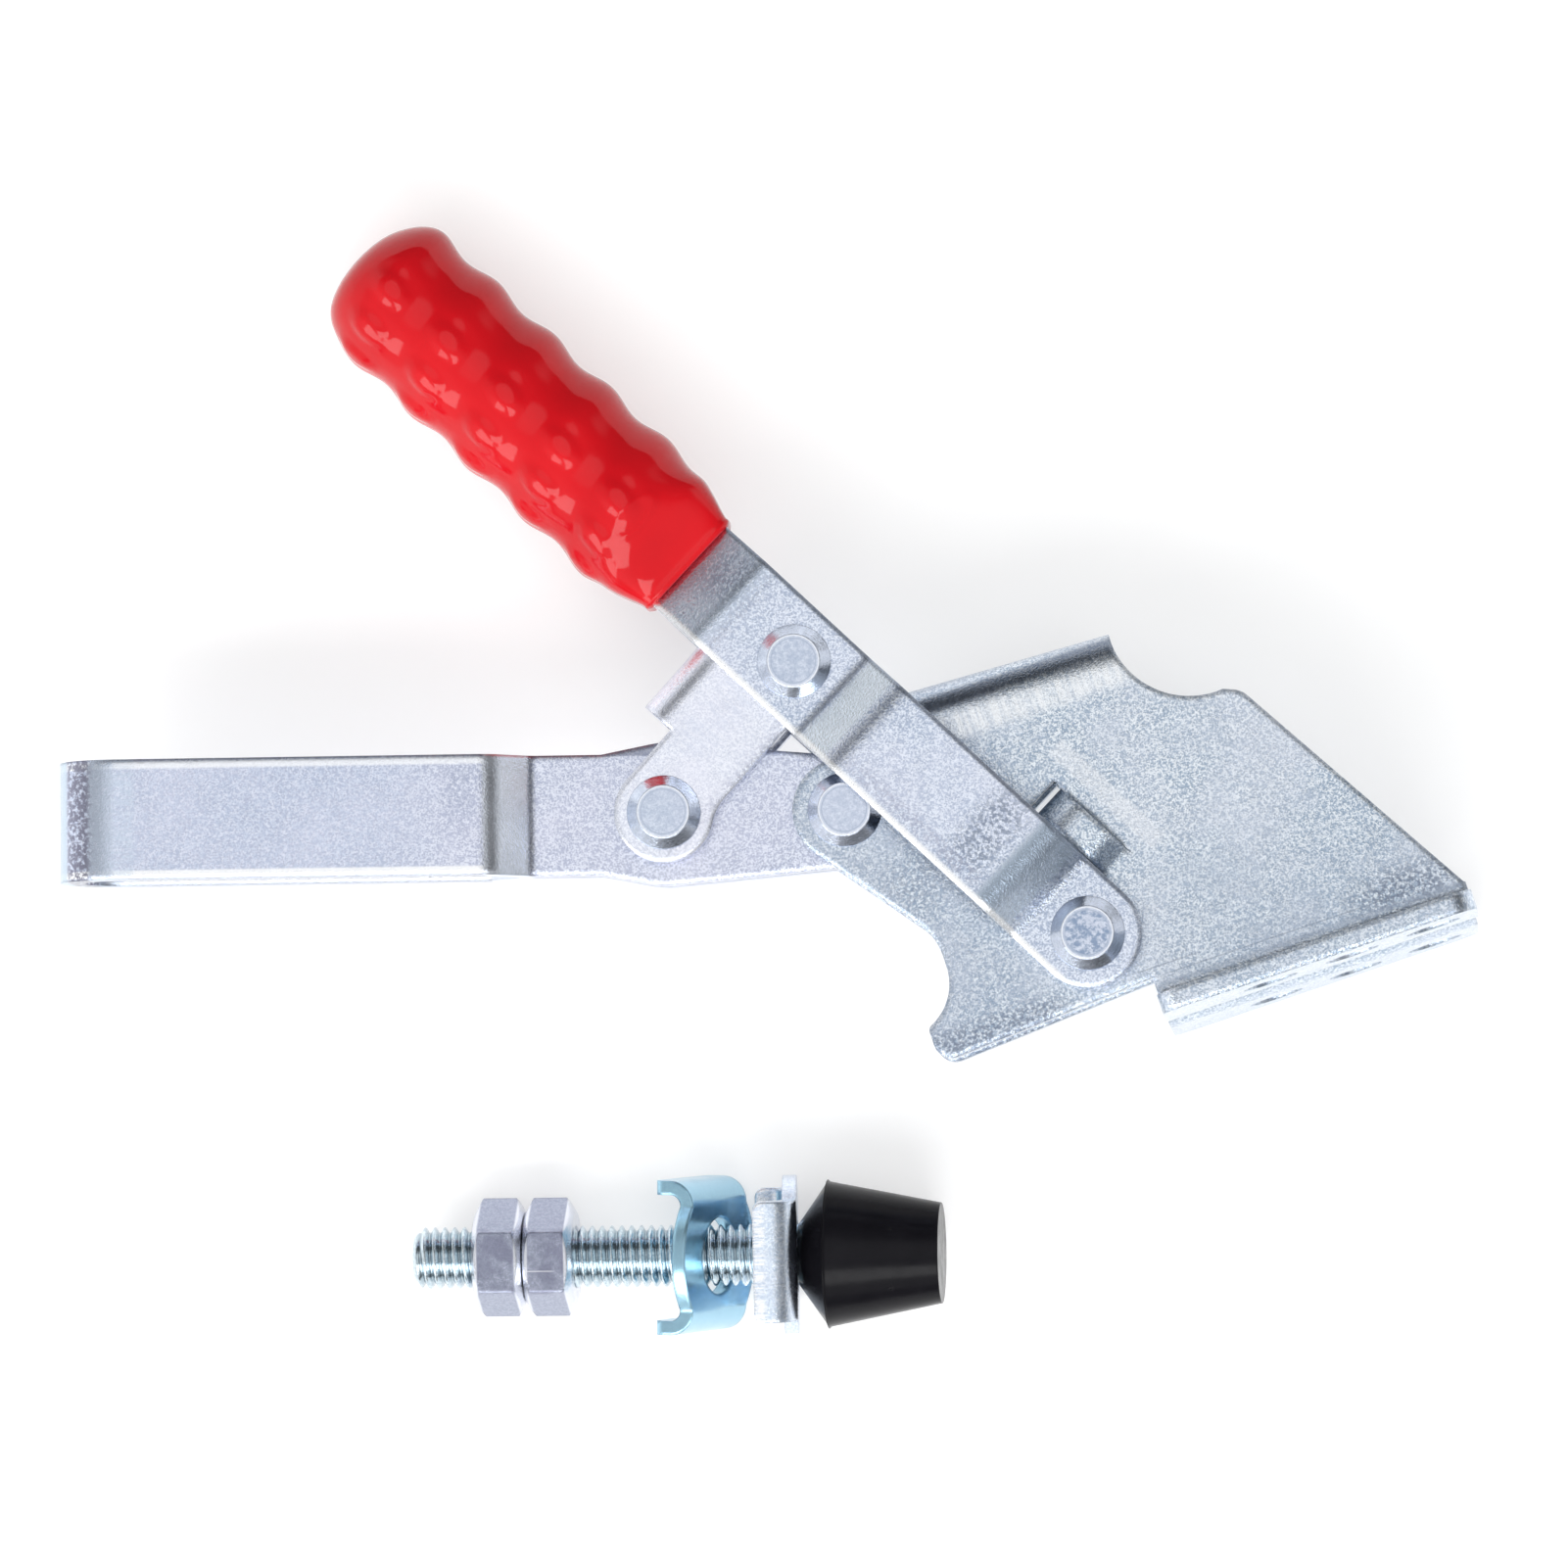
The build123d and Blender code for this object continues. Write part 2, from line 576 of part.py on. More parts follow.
if __name__ == "__main__":
    os.makedirs("parts", exist_ok=True)
    for name, piece in nodes.items():
        solids = piece.solids()
        export_step(solids[0] if len(solids) == 1 else Compound(solids), f"parts/{name}.step")
    print("swings", handle_swing, arm_swing, link_swing)
    print("directions", handle_open, arm_open, link_open)
    print("box", box.size, "tilt", degrees(lay_tilt), "pitch", degrees(spindle_pitch))
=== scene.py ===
"""Looks for the toggle clamp: the camera, a soft studio, node materials for the plated steel, the
rubber and the PVC, and two pieces that stand for CAD nodes: the grip with its moulded domes and the
spindle's bolt with its real thread."""
import json
import math

import bmesh
import bpy
import numpy as np
from mathutils import Matrix, Vector


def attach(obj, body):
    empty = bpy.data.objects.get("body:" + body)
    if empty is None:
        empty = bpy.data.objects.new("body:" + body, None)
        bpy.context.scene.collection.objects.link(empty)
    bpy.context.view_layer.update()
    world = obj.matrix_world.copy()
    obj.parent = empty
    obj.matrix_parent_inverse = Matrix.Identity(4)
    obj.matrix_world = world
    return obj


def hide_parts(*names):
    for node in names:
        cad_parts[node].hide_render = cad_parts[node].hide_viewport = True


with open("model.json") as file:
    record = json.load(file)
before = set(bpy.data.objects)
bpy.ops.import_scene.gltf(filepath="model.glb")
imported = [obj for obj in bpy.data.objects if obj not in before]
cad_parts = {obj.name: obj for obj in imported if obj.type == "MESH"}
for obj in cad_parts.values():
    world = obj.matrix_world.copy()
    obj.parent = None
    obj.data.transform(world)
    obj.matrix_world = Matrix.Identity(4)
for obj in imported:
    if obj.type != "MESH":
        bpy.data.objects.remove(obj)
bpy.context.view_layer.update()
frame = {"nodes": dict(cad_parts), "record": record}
MM = 0.001

# ---- places, as in part.py: lengths in mm, angles in degrees ------------------------------------
LAY_YAW = math.radians(18.5)
HANDLE_OPEN, ARM_OPEN, LINK_OPEN = 118.5, 162.064, 29.996
ARM_PIVOT = (-23.7, 24.4)                # in the clamp's frame
LINK_RIVET = (22.5, 0.0)                 # in the arm's frame
LINK_PIN = (49.7, 0.0)                   # in the handle's frame


def joint_place(name):
    """A joint's place and axis at rest."""
    for joint in frame["record"]["behaviour"]["joints"]:
        if joint["name"] == name:
            return Vector(joint["pos_m"]), Vector(joint["axis"])
    raise KeyError(name)


def turned(matrix, degrees):
    """A frame turned about its own Z."""
    return matrix @ Matrix.Rotation(math.radians(degrees), 4, "Z")


def placed(matrix, x, y):
    """A frame moved in its own plane, mm."""
    return matrix @ Matrix.Translation((x * MM, y * MM, 0.0))


PIVOT, AXIS = joint_place("handle_pivot")
ALONG = Vector((math.cos(LAY_YAW), math.sin(LAY_YAW), 0.0))     # along the flanges
CLAMP = Matrix((ALONG, AXIS.cross(ALONG), AXIS)).transposed().to_4x4()
CLAMP.translation = PIVOT
HANDLE = turned(CLAMP, HANDLE_OPEN)
ARM = turned(placed(CLAMP, *ARM_PIVOT), ARM_OPEN)
LINK = turned(placed(ARM, *LINK_RIVET), LINK_OPEN - ARM_OPEN)


def spindle_place():
    """The bolt's own frame: origin on its axis at the free end, X along it."""
    end_slice = 1.2 * MM                 # the points this near the free end give its middle
    points = np.array([v.co[:] for v in frame["nodes"]["spindle_bolt"].data.vertices])
    middle = points.mean(axis=0)
    along = np.linalg.eigh(np.cov((points - middle).T))[1][:, -1]
    along = along if along[0] > 0 else -along
    stations = (points - middle) @ along
    start = points[stations < stations.min() + end_slice].mean(axis=0)
    start = start + along * (stations.min() - (start - middle) @ along)
    x = Vector(along).normalized()
    y = Vector((0, 0, 1)).cross(x).normalized()
    matrix = Matrix((x, y, x.cross(y))).transposed().to_4x4()
    matrix.translation = Vector(start)
    return matrix


SPINDLE = spindle_place()

# ---- camera -------------------------------------------------------------------------------------
PHOTO_WIDTH = 1601                       # px
PX_PER_MM = 8.071                        # at the table
SENSOR = 36.0                            # mm
VIEW_DISTANCE = 1.40483                  # m
VIEW_TURN, VIEW_RISE, VIEW_SIDE = -0.338, 3.62, 1.009            # degrees from straight down
VIEW_SHIFT = (0.001374, -0.001493, 0.0)  # m


def add_camera():
    """Nearly straight down, as fitted to the photograph's pivots, ends and corners."""
    yaw, rise, side = (math.radians(v) for v in (VIEW_TURN, VIEW_RISE, VIEW_SIDE))
    back = Vector((math.sin(side), math.sin(rise), math.cos(rise) * math.cos(side)))
    back_unit = back.normalized()
    up = Vector((-math.sin(yaw), math.cos(yaw), 0.0))
    right = up.cross(back_unit).normalized()
    up = back_unit.cross(right)
    data = bpy.data.cameras.new("camera")
    data.sensor_width = SENSOR
    data.sensor_fit = "HORIZONTAL"
    data.lens = SENSOR * PX_PER_MM * VIEW_DISTANCE * back.length / MM / PHOTO_WIDTH
    data.clip_end = 20.0
    camera = bpy.data.objects.new("camera", data)
    bpy.context.scene.collection.objects.link(camera)
    rotation = Matrix((right, up, back_unit)).transposed()
    shift = VIEW_DISTANCE * back + Vector(VIEW_SHIFT)
    camera.matrix_world = Matrix.Translation(shift) @ rotation.to_4x4()
    bpy.context.scene.camera = camera


# ---- node helpers -------------------------------------------------------------------------------
MIX_A, MIX_B, MIX_RESULT = 6, 7, 2       # the colour sockets of a mix node


class Shader:
    """A node material with short helpers. Values are sockets unless they are numbers."""

    def __init__(self, name):
        self.material = bpy.data.materials.new(name)
        self.material.use_nodes = True
        tree = self.material.node_tree
        self.nodes, self.links = tree.nodes, tree.links
        self.bsdf = self.nodes["Principled BSDF"]
        self.place = self.nodes.new("ShaderNodeTexCoord").outputs["Object"]

    def link(self, source, target):
        self.links.new(source, target)

    def feed(self, name, source):
        """Link a socket to one of the surface's own inputs."""
        self.link(source, self.bsdf.inputs[name])

    def set(self, **values):
        for key, value in values.items():
            self.bsdf.inputs[key.replace("_", " ")].default_value = value

    def node(self, kind, **settings):
        made = self.nodes.new(kind)
        for key, value in settings.items():
            setattr(made, key, value)
        return made

    def noise(self, scale, detail=2.0, rough=0.5, vector=None):
        made = self.node("ShaderNodeTexNoise")
        self.link(vector or self.place, made.inputs["Vector"])
        made.inputs["Scale"].default_value = scale
        made.inputs["Detail"].default_value = detail
        made.inputs["Roughness"].default_value = rough
        return made.outputs["Fac"]

    def math(self, kind, a, b=None):
        made = self.node("ShaderNodeMath", operation=kind)
        for index, value in enumerate((a, b)):
            if value is None:
                continue
            if isinstance(value, (int, float)):
                made.inputs[index].default_value = value
            else:
                self.link(value, made.inputs[index])
        return made.outputs[0]

    def times(self, *values):
        made = values[0]
        for value in values[1:]:
            made = self.math("MULTIPLY", made, value)
        return made

    def radius(self, a, b):
        """Distance from the axis that two places are measured from."""
        return self.math("SQRT", self.math("ADD", self.times(a, a), self.times(b, b)))

    def spread(self, value, low, high, out_low=0.0, out_high=1.0, smooth=False):
        """Map low and high to two other values, held beyond them."""
        made = self.node("ShaderNodeMapRange")
        if smooth:
            made.interpolation_type = "SMOOTHSTEP"
        self.link(value, made.inputs["Value"])
        ends = {"From Min": low, "From Max": high, "To Min": out_low, "To Max": out_high}
        for key, number in ends.items():
            made.inputs[key].default_value = number
        return made.outputs["Result"]

    def share(self, mask, low, high):
        """A mask that runs from low to high instead of 0 to 1."""
        return self.spread(mask, 0.0, 1.0, low, high)

    def band(self, value, low, high, soft=0.3):
        """1 between two values and 0 outside, with soft flanks."""
        rise = self.spread(value, low - soft, low + soft, smooth=True)
        fall = self.spread(value, high - soft, high + soft, 1.0, 0.0, smooth=True)
        return self.math("MULTIPLY", rise, fall)

    def specks(self, scale, low, high):
        """Fine grain as a mask."""
        return self.spread(self.noise(scale, 2.0, 0.6), low, high)

    def mix(self, factor, low, high):
        """A colour between two others, each a socket or a tuple."""
        made = self.node("ShaderNodeMix", data_type="RGBA")
        self.link(factor, made.inputs["Factor"])
        for index, value in ((MIX_A, low), (MIX_B, high)):
            if isinstance(value, tuple):
                made.inputs[index].default_value = (*value, 1.0)
            else:
                self.link(value, made.inputs[index])
        return made.outputs[MIX_RESULT]

    def bump(self, height, strength, distance, normal=None):
        made = self.node("ShaderNodeBump")
        made.inputs["Strength"].default_value = strength
        made.inputs["Distance"].default_value = distance
        self.link(height, made.inputs["Height"])
        if normal is not None:
            self.link(normal, made.inputs["Normal"])
        return made.outputs["Normal"]

    def rounded(self, radius):
        """Normals that look as if the edges had this radius, m."""
        made = self.node("ShaderNodeBevel", samples=6)
        made.inputs["Radius"].default_value = radius
        return made.outputs["Normal"]

    def local(self, matrix):
        """Place in mm in a piece's own frame, as three sockets."""
        inverse = matrix.inverted()
        found = []
        for row, shift in zip(inverse.to_3x3(), inverse.translation):
            dot = self.node("ShaderNodeVectorMath", operation="DOT_PRODUCT")
            self.link(self.place, dot.inputs[0])
            dot.inputs[1].default_value = [v / MM for v in row]
            found.append(self.math("ADD", dot.outputs["Value"], shift / MM))
        return found

    def combine(self, *sockets):
        join = self.node("ShaderNodeCombineXYZ")
        for index, socket in enumerate(sockets):
            self.link(socket, join.inputs[index])
        return join.outputs[0]

    def streaks(self, matrix, scales, low, high, detail=2.0):
        """A mask of drawn-out lines: noise with a scale, per mm, for each axis of a frame."""
        stretched = [self.math("MULTIPLY", socket, scale)
                     for socket, scale in zip(self.local(matrix), scales)]
        return self.spread(self.noise(1.0, detail, vector=self.combine(*stretched)), low, high)


def dress(material, *nodes):
    """Give CAD nodes a material."""
    for name in nodes:
        slots = frame["nodes"][name].material_slots
        if not slots:
            frame["nodes"][name].data.materials.append(material)
        for slot in slots:
            slot.material = material


# ---- zinc plate ---------------------------------------------------------------------------------
FINE_GRAIN, MID_GRAIN = 4300.0, 2300.0   # noise cells per metre
FINE_SHARE = 0.62
GRAIN_DEPTH, MARK_DEPTH = 0.00012, 0.001                         # m of height for a mask of 1


def zinc(name, light, deep, rough=0.22, grain=1.0, edge=0.0011, contrast=1.0, marks=None):
    """Bright zinc plate: mottled grain, faint clouding and edges that look rolled to a radius in m.

    marks(s) gives the (mask, colour) layers to lay over it and a height, or None, to add."""
    s = Shader(name)
    fine, mid = s.noise(FINE_GRAIN, 2.5, 0.66), s.noise(MID_GRAIN)
    mottle = s.math("ADD", s.times(fine, FINE_SHARE), s.times(mid, 1 - FINE_SHARE))
    half = 0.075 / contrast
    colour = s.mix(s.spread(mottle, 0.5 - half, 0.5 + half, smooth=True), deep, light)
    warm = tuple(c * w for c, w in zip(light, (1.02, 0.97, 1.0)))
    cloud = s.spread(s.noise(75.0, 3.0, 0.55), 0.42, 0.68)
    colour = s.mix(s.times(cloud, 0.35), colour, warm)
    layers, height = marks(s) if marks else ((), None)
    for mask, tone in layers:
        colour = s.mix(mask, colour, tone)
    s.feed("Base Color", colour)
    s.set(Metallic=1.0)
    s.feed("Roughness", s.spread(s.noise(420.0, 3.0), 0.3, 0.7, rough - 0.05, rough + 0.06))
    normal = s.bump(mottle, 0.80 * grain, GRAIN_DEPTH, s.rounded(edge))
    if height is not None:
        normal = s.bump(height, 1.0, MARK_DEPTH, normal)
    s.feed("Normal", normal)
    return s.material


# Marks are placed in mm in a piece's own frame, by what the photograph shows there; several of them
# are painted highlights, reflections and shade. The last number of a product of masks is how
# strongly the mark covers the plate.
DARK_BLUE = (0.16, 0.20, 0.28)


def plate_marks(s):
    """Painted shade and thin dark lines beside the flange's bend, a painted highlight at the stop,
    painted dark and pale reflections at the rolled edge, and specks.
    """
    x, y, _ = s.local(CLAMP)
    u, v, _ = s.local(HANDLE)
    speck = s.specks(2100.0, 0.46, 0.56)
    cloud = s.times(s.spread(s.noise(150.0, 4.0, 0.6), 0.40, 0.62), 0.25)
    front = s.times(s.spread(x, 4.0, -12.0, smooth=True), s.share(speck, 0.15, 0.45))
    low = s.times(s.spread(y, 14.0, -4.0, smooth=True), s.spread(x, 5.0, 20.0, smooth=True),
                  s.share(speck, 0.05, 0.28))
    corner = s.times(s.band(x, 33.0, 45.0, 4.0), s.band(y, -9.5, -4.5, 2.0), speck, 0.75)
    toe = s.times(s.band(x, -24.0, -6.0, 3.0), s.band(y, -9.0, -5.8, 1.2), speck, 0.70)
    ear = s.times(s.band(x, -22.0, -15.0, 2.0), s.band(y, 10.0, 16.0, 3.0), speck, 0.35)
    drawn = s.streaks(CLAMP, (2.2, 0.12, 0.1), 0.40, 0.60)
    # painted pale reflection beside the rolled edge, broken by drawn streaks
    under_roll_streaks_and_sheen = s.times(s.band(y, 28.2, 31.6, 0.9), s.band(x, -17.0, 20.0, 2.0),
                         s.share(drawn, 0.35, 0.85))
    # painted dark reflection along the rolled edge
    roll_dark_reflection = s.times(s.band(y, 32.4, 34.4, 0.5), s.band(x, -18.0, 24.0, 2.0), 0.70)
    # painted highlight along the stop
    stop_highlight = s.times(s.band(u, 1.4, 19.0, 0.5), s.band(v, -15.6, -13.1, 0.35), 0.45)
    shade = s.times(s.band(x, 6.0, 46.0, 1.0), s.band(y, -9.2, -8.5, 0.25), 0.55)
    # a thin dark line along the flange's bend
    thin_dark_line = s.times(s.band(x, 8.0, 40.0, 1.0), s.band(y, -7.75, -7.60, 0.08), 0.45)
    step_edge = s.times(s.band(x, 4.0, 12.0, 0.6), s.band(y, -6.55, -6.38, 0.08), 0.40)
    return [
        (cloud, (0.50, 0.58, 0.70)),
        (front, (0.34, 0.41, 0.54)),
        (low, (0.40, 0.48, 0.60)),
        (corner, DARK_BLUE),
        (toe, DARK_BLUE),
        (ear, DARK_BLUE),
        (under_roll_streaks_and_sheen, (0.92, 0.95, 0.98)),
        (roll_dark_reflection, (0.07, 0.09, 0.14)),
        (stop_highlight, (0.86, 0.89, 0.94)),
        (shade, (0.34, 0.40, 0.50)),
        (thin_dark_line, DARK_BLUE),
        (step_edge, DARK_BLUE),
    ], None


def arm_marks(s):
    """Painted light on the slope, painted highlights and a painted dark line along the wide part's
    edges, painted shade on its side, and die marks at the round end beside a painted dark band and
    a painted pale reflection.
    """
    x, y, _ = s.local(ARM)
    speck = s.specks(1900.0, 0.45, 0.55)
    wide = s.spread(x, 43.0, 45.0)
    blue = s.times(s.spread(x, 46.0, 60.0, smooth=True), s.share(speck, 0.20, 0.50))
    # painted shade on the side of the wide part
    strip_shade = s.times(s.spread(y, 7.25, 7.45), wide, 0.80)
    # painted highlights along the wide part's two edges
    lower_rim_highlight = s.times(s.band(y, 6.4, 7.25, 0.15), wide, 0.90)
    upper_rim_highlight = s.times(s.band(y, -7.15, -6.3, 0.2), wide, 0.75)
    # a painted dark line along the upper edge
    crest_shade = s.times(s.spread(y, -7.2, -7.4), 0.65)
    # painted light on the slope
    slope = s.times(s.band(x, 39.6, 44.9, 0.25), 0.90)
    coarse_grain = s.spread(s.noise(1500.0, 2.5, 0.7), 0.41, 0.52)
    # painted dark reflection across the round end's bend, broken by a rough grain
    grainy_dark_reflection = s.times(s.band(x, 93.6, 97.2, 0.5), coarse_grain, 0.90)
    # painted pale reflection on the round end
    end = s.times(s.band(x, 97.3, 99.0, 0.2), 0.85)
    drawn = s.streaks(ARM, (0.25, 2.6, 0.2), 0.42, 0.60, detail=3.0)
    die = s.times(s.band(x, 88.5, 93.8, 0.5), s.share(drawn, 0.15, 0.50))
    press = s.times(s.band(x, 91.2, 94.3, 0.4), s.share(speck, 0.55, 0.95))
    near_slope = s.times(s.band(x, 46.0, 50.0, 1.5), s.band(y, -6.0, 2.0, 2.0), speck, 0.45)
    return [
        (blue, (0.50, 0.58, 0.74)),
        (strip_shade, (0.50, 0.54, 0.62)),
        (lower_rim_highlight, (0.97, 0.98, 1.0)),
        (upper_rim_highlight, (0.95, 0.97, 1.0)),
        (crest_shade, (0.20, 0.22, 0.30)),
        (slope, (0.86, 0.91, 1.00)),
        (grainy_dark_reflection, (0.20, 0.20, 0.27)),
        (end, (0.55, 0.66, 0.76)),
        (die, (0.60, 0.70, 0.82)),
        (press, (0.55, 0.62, 0.74)),
        (near_slope, (0.34, 0.38, 0.52)),
    ], None


def strap_marks(s):
    """The bends' slopes with painted light and shade, a painted highlight along one rim and painted
    shade along the other, specks, and a rough neck beside the grip.
    """
    x, y, _ = s.local(HANDLE)
    speck = s.specks(2000.0, 0.45, 0.56)
    # painted light and shade on the bends' slopes
    near = s.times(s.band(x, 7.8, 13.2, 0.4), 0.85)
    shade = s.times(s.band(x, 10.4, 13.2, 0.9), 0.70)
    far = s.times(s.band(x, 38.6, 42.6, 0.4), 0.80)
    foot = s.times(s.band(x, 14.5, 20.0, 1.8), s.band(y, -6.5, 5.0, 3.0), speck, 0.70)
    head = s.times(s.band(x, 58.5, 63.0, 1.5), speck, 0.55)
    side = s.times(s.band(y, 3.6, 5.6, 0.6), s.band(x, 14.0, 36.0, 2.0), speck, 0.45)
    neck = s.times(s.band(x, 59.5, 69.0, 1.5), s.share(speck, 0.30, 0.75))
    # darker specks beside the grip's mouth
    neck_dark_specks = s.times(s.band(x, 60.5, 66.0, 1.8), s.band(y, -6.0, 1.0, 2.5), speck, 0.55)
    lip = s.times(s.band(x, 42.9, 43.4, 0.12), 0.5)
    # a painted highlight along one rim and painted shade along the other
    rim_highlight = s.times(s.band(y, 5.9, 9.0, 0.25), 0.85)
    rim_shade = s.times(s.band(y, -9.0, -6.2, 0.2), 0.60)
    neck_rise = s.spread(x, 58.5, 70.0, 0.0, 2.3)
    return [
        (near, (0.62, 0.70, 0.80)),
        (shade, (0.22, 0.28, 0.36)),
        (far, (0.79, 0.87, 0.95)),
        (foot, DARK_BLUE),
        (head, (0.26, 0.27, 0.38)),
        (side, (0.36, 0.38, 0.50)),
        (neck, (0.66, 0.76, 0.88)),
        (neck_dark_specks, (0.20, 0.24, 0.36)),
        (lip, (0.30, 0.34, 0.42)),
        (rim_highlight, (0.98, 0.99, 1.0)),
        (rim_shade, (0.22, 0.26, 0.34)),
    ], neck_rise


def link_marks(s):
    """Draw lines across the cheek beside the bridge, and specks along its foot."""
    x, y, _ = s.local(LINK)
    lines = s.streaks(LINK, (4.2, 0.30, 0.2), 0.44, 0.58)
    drawn = s.times(s.band(y, 0.5, 5.5, 1.2), s.band(x, 7.5, 22.5, 1.0), lines, 0.30)
    foot = s.times(s.specks(2000.0, 0.46, 0.56), s.band(y, -4.6, -3.2, 0.7), 0.40)
    return [(drawn, (0.60, 0.66, 0.80)), (foot, (0.36, 0.38, 0.50))], None


def nut_marks(s):
    """Painted smoky reflections on the flats, painted highlights on the chamfers and a scratch
    along the outer nut's top.
    """
    x, y, z = s.local(SPINDLE)
    smoke = s.spread(s.noise(260.0, 3.0, 0.55), 0.40, 0.60, smooth=True)
    top = s.spread(z, 5.6, 6.3, smooth=True)
    shade = s.times(smoke, top, 0.75)
    scratch = s.times(s.band(x, 14.4, 18.2, 0.5), s.band(y, -1.2, -1.05, 0.06), top, 0.55)
    # painted highlights on the nuts' chamfers
    chamfers = s.math("MAXIMUM", s.band(x, 7.6, 8.6, 0.15), s.band(x, 13.3, 15.0, 0.15))
    chamfer_highlights = s.times(s.math("MAXIMUM", chamfers, s.band(x, 19.6, 20.7, 0.12)), 0.75)
    return [(shade, (0.22, 0.23, 0.32)), (chamfer_highlights, (0.88, 0.90, 0.96)),
            (scratch, (0.90, 0.91, 0.96))], None


def hatch_marks(s):
    """Short bright strokes across the washer's rolled flange."""
    x, _, _ = s.local(SPINDLE)
    strokes = s.streaks(SPINDLE, (0.5, 2.6, 0.4), 0.44, 0.56)
    return [(s.times(s.band(x, 42.6, 45.4, 0.4), strokes, 0.8), (0.97, 0.98, 1.0))], None


def thread_marks(s):
    """Painted shade in the grooves between the crests."""
    x, y, z = s.local(SPINDLE)
    # painted shade in the grooves
    deep = s.spread(s.radius(y, z), 3.75, 3.25, smooth=True)
    return [(s.times(deep, s.spread(x, 0.2, 0.8), 0.60), (0.24, 0.32, 0.38))], None


def rivet_marks(place, cloudiness):
    """A rivet head's marks: a painted highlight on the ring upset round its top, painted shade in a
    ring inside it, clouding on it, and strokes outside it.
    """
    def marks(s):
        x, y, _ = s.local(place)
        radius = s.radius(x, y)
        # a painted highlight on the ring upset round the top
        ring = s.times(s.band(radius, 3.08, 3.20, 0.07), 0.75)
        # painted shade in a ring inside it
        groove_shade = s.band(radius, 2.72, 2.86, 0.08)
        cloud = s.times(s.spread(s.noise(1300.0, 4.0, 0.65), 0.38, 0.60, smooth=True),
                        s.spread(radius, 3.1, 2.7), cloudiness)
        around = s.combine(s.times(s.math("ARCTAN2", y, x), 3.0))
        strokes = s.spread(s.noise(1.0, vector=around), 0.42, 0.58, smooth=True)
        radial = s.times(strokes, s.spread(radius, 3.2, 3.5), 0.35)
        return [(cloud, (0.24, 0.32, 0.46)), (radial, (0.42, 0.47, 0.56)),
                (groove_shade, (0.42, 0.48, 0.60)), (ring, (0.93, 0.95, 0.98))], None
    return marks


def dress_metal():
    """Give each metal CAD node its plate, and return the thread's, which a new piece wears too."""
    dress(zinc("zinc_base", (0.84, 0.90, 0.96), (0.34, 0.43, 0.55), marks=plate_marks),
          "base_plate_front", "base_plate_back")
    dress(zinc("zinc_arm", (0.76, 0.80, 0.91), (0.46, 0.50, 0.64), grain=0.7, marks=arm_marks),
          "arm_bar")
    dress(zinc("zinc_link", (0.86, 0.89, 0.97), (0.66, 0.70, 0.81), grain=0.6, contrast=0.7,
               marks=link_marks), "link")
    dress(zinc("zinc_strap", (0.78, 0.84, 0.94), (0.42, 0.49, 0.63), grain=0.8,
               marks=strap_marks), "handle_strap_front", "handle_strap_back")
    dress(zinc("core_steel", (0.60, 0.62, 0.66), (0.46, 0.48, 0.53), rough=0.35, grain=0.6),
          "handle_pivot_bush", "arm_pivot_core")
    dress(zinc("zinc_nut", (0.40, 0.43, 0.53), (0.30, 0.33, 0.42), rough=0.17, grain=0.55,
               edge=0.0005, contrast=0.6, marks=nut_marks), "lock_nut_outer", "lock_nut_inner")
    dress(zinc("zinc_washer_blue", (0.40, 0.66, 0.80), (0.34, 0.58, 0.74), rough=0.20,
               grain=0.12, edge=0.0006, contrast=0.3), "flanged_washer_outer")
    dress(zinc("zinc_washer_pale", (0.80, 0.87, 0.96), (0.56, 0.66, 0.80), rough=0.24, grain=0.4,
               edge=0.0006, contrast=0.6, marks=hatch_marks), "flanged_washer_inner")
    for name, place, cloudiness in (
            ("arm_pivot_rivet_front", placed(CLAMP, *ARM_PIVOT), 0.25),
            ("arm_pivot_rivet_back", placed(CLAMP, *ARM_PIVOT), 0.25),
            ("handle_pivot_rivet", CLAMP, 0.95),
            ("link_arm_rivet", placed(ARM, *LINK_RIVET), 0.25),
            ("link_pin", placed(HANDLE, *LINK_PIN), 0.35)):
        dress(zinc("zinc_" + name, (0.66, 0.72, 0.83), (0.52, 0.58, 0.70), rough=0.15, grain=0.35,
                   edge=0.0002, contrast=0.6, marks=rivet_marks(place, cloudiness)), name)
    thread = zinc("zinc_thread", (0.74, 0.83, 0.87), (0.46, 0.57, 0.64), rough=0.16, grain=0.35,
                  edge=0.0001, contrast=0.7, marks=thread_marks)
    dress(thread, "spindle_bolt")
    return thread


# ---- rubber and PVC -----------------------------------------------------------------------------
def rubber_black():
    """Soft black rubber with a faint bloom."""
    s = Shader("rubber_black")
    s.feed("Base Color", s.mix(s.noise(300.0, 3.0), (0.0040, 0.0040, 0.0055),
                               (0.0085, 0.0080, 0.0105)))
    s.feed("Roughness", s.spread(s.noise(500.0, 3.0), 0.3, 0.7, 0.18, 0.27))
    s.set(Specular_IOR_Level=0.10)
    s.feed("Normal", s.bump(s.noise(900.0, 3.0), 0.3, 0.00005, s.rounded(0.0003)))
    return s.material


def pvc_red():
    """Glossy dipped PVC."""
    s = Shader("pvc_red")
    clouding = s.spread(s.noise(60.0, 3.0), 0.35, 0.65)
    s.feed("Base Color", s.mix(clouding, (0.53, 0.005, 0.010), (0.60, 0.007, 0.012)))
    s.feed("Roughness", s.spread(s.noise(200.0, 3.0), 0.3, 0.7, 0.06, 0.10))
    s.set(Specular_IOR_Level=0.26)
    s.feed("Normal", s.bump(s.noise(350.0), 0.10, 0.0001))
    return s.material


